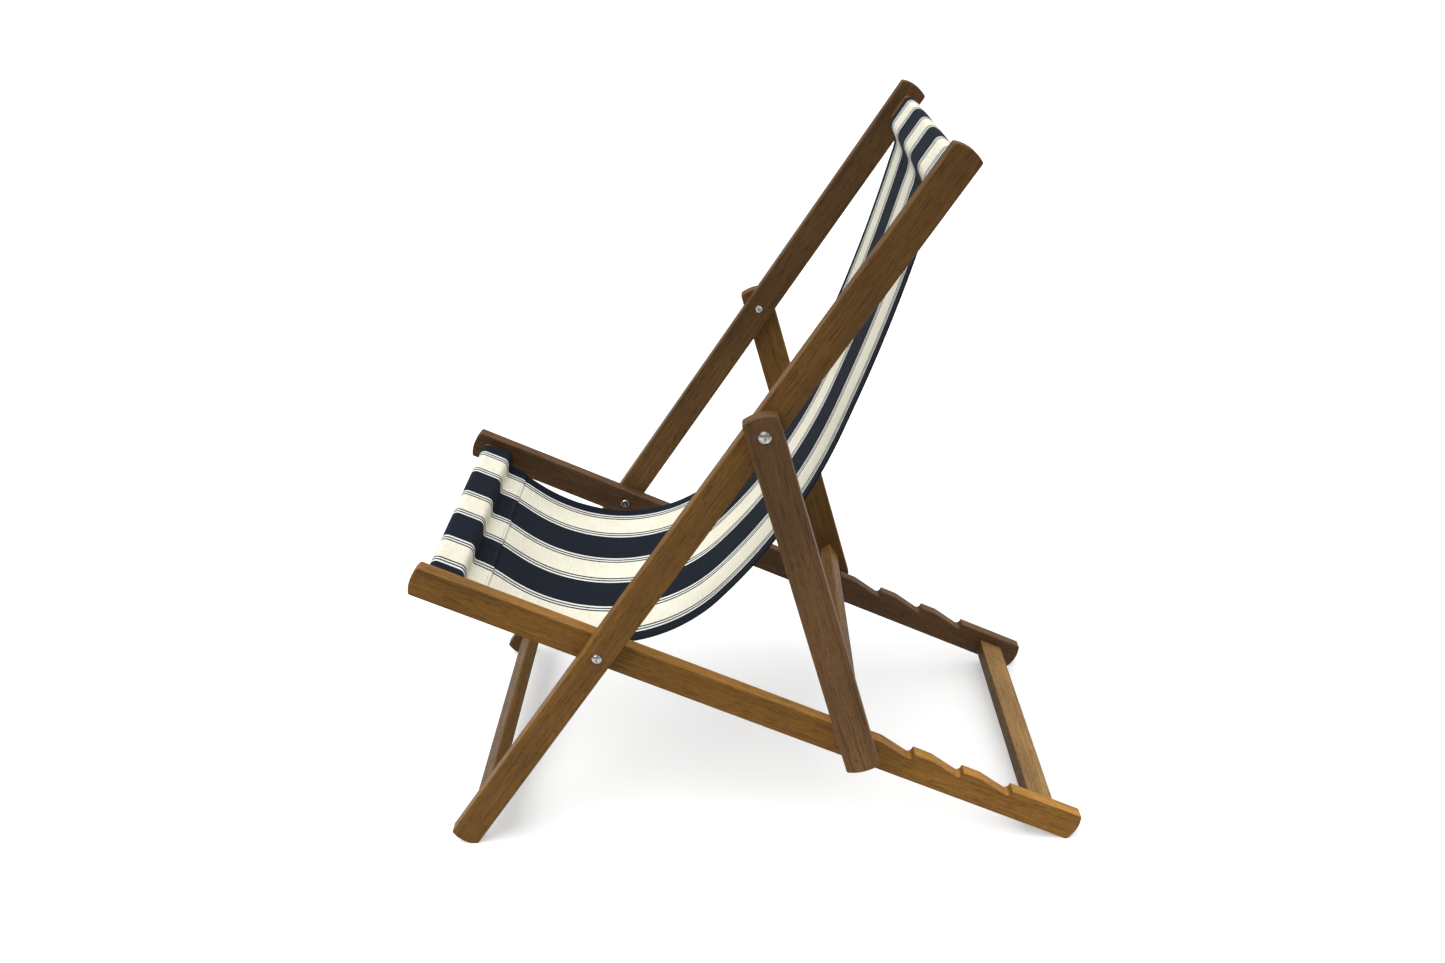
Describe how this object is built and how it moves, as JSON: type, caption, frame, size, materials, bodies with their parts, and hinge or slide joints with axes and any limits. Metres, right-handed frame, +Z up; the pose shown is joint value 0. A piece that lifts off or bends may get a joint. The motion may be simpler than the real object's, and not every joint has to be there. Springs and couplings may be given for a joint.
{
  "type": "folding deck chair",
  "caption": "Folding wooden deck chair: canvas sling hung between two crossed frames, held open by a swinging prop whose bar sits in notches for recline.",
  "frame": {"origin": "centre of the footprint at floor level, chair open in its most upright setting", "axes": "+Z up; the sitter faces -Y; +X is the sitter's left, across the chair"},
  "size_m": [0.5974, 0.9727, 1.0322],
  "materials": {
    "brown_hardwood": "satin",
    "golden_hardwood": "satin",
    "striped_canvas": "matte",
    "bright_steel": "polished"
  },
  "bodies": {
    "back_frame": {"back_rail_left": "brown_hardwood", "back_rail_right": "brown_hardwood", "back_top_rail": "brown_hardwood", "back_foot_rail": "brown_hardwood", "frame_pivot_bolt_left": "bright_steel", "frame_pivot_bolt_right": "bright_steel", "frame_pivot_nut_left": "bright_steel", "frame_pivot_nut_right": "bright_steel", "frame_spacer_left": "bright_steel", "frame_spacer_right": "bright_steel", "prop_pivot_bolt_left": "bright_steel", "prop_pivot_bolt_right": "bright_steel", "prop_pivot_nut_left": "bright_steel", "prop_pivot_nut_right": "bright_steel", "prop_spacer_left": "bright_steel", "prop_spacer_right": "bright_steel", "canvas_sling": "striped_canvas"},
    "seat_frame": {"seat_rail_left": "golden_hardwood", "seat_rail_right": "golden_hardwood", "seat_front_rail": "brown_hardwood", "seat_rear_rail": "brown_hardwood"},
    "prop_frame": {"prop_rail_left": "brown_hardwood", "prop_rail_right": "brown_hardwood", "prop_crossbar": "brown_hardwood"}
  },
  "joints": [
    {"name": "seat_fold", "type": "hinge", "parent": "back_frame", "child": "seat_frame", "pos_m": [0, -0.2276, 0.3245], "axis": [1, 0, 0], "range_deg": [0, 80], "deforming": ["canvas_sling"]},
    {"name": "prop_swing", "type": "hinge", "parent": "back_frame", "child": "prop_frame", "pos_m": [0, -0.0014, 0.66885], "axis": [1, 0, 0], "range_deg": [0, 130.8]}
  ],
  "couplings": [
    {"joint": "prop_swing", "follows": "seat_fold", "ratio": 1.63}
  ]
}
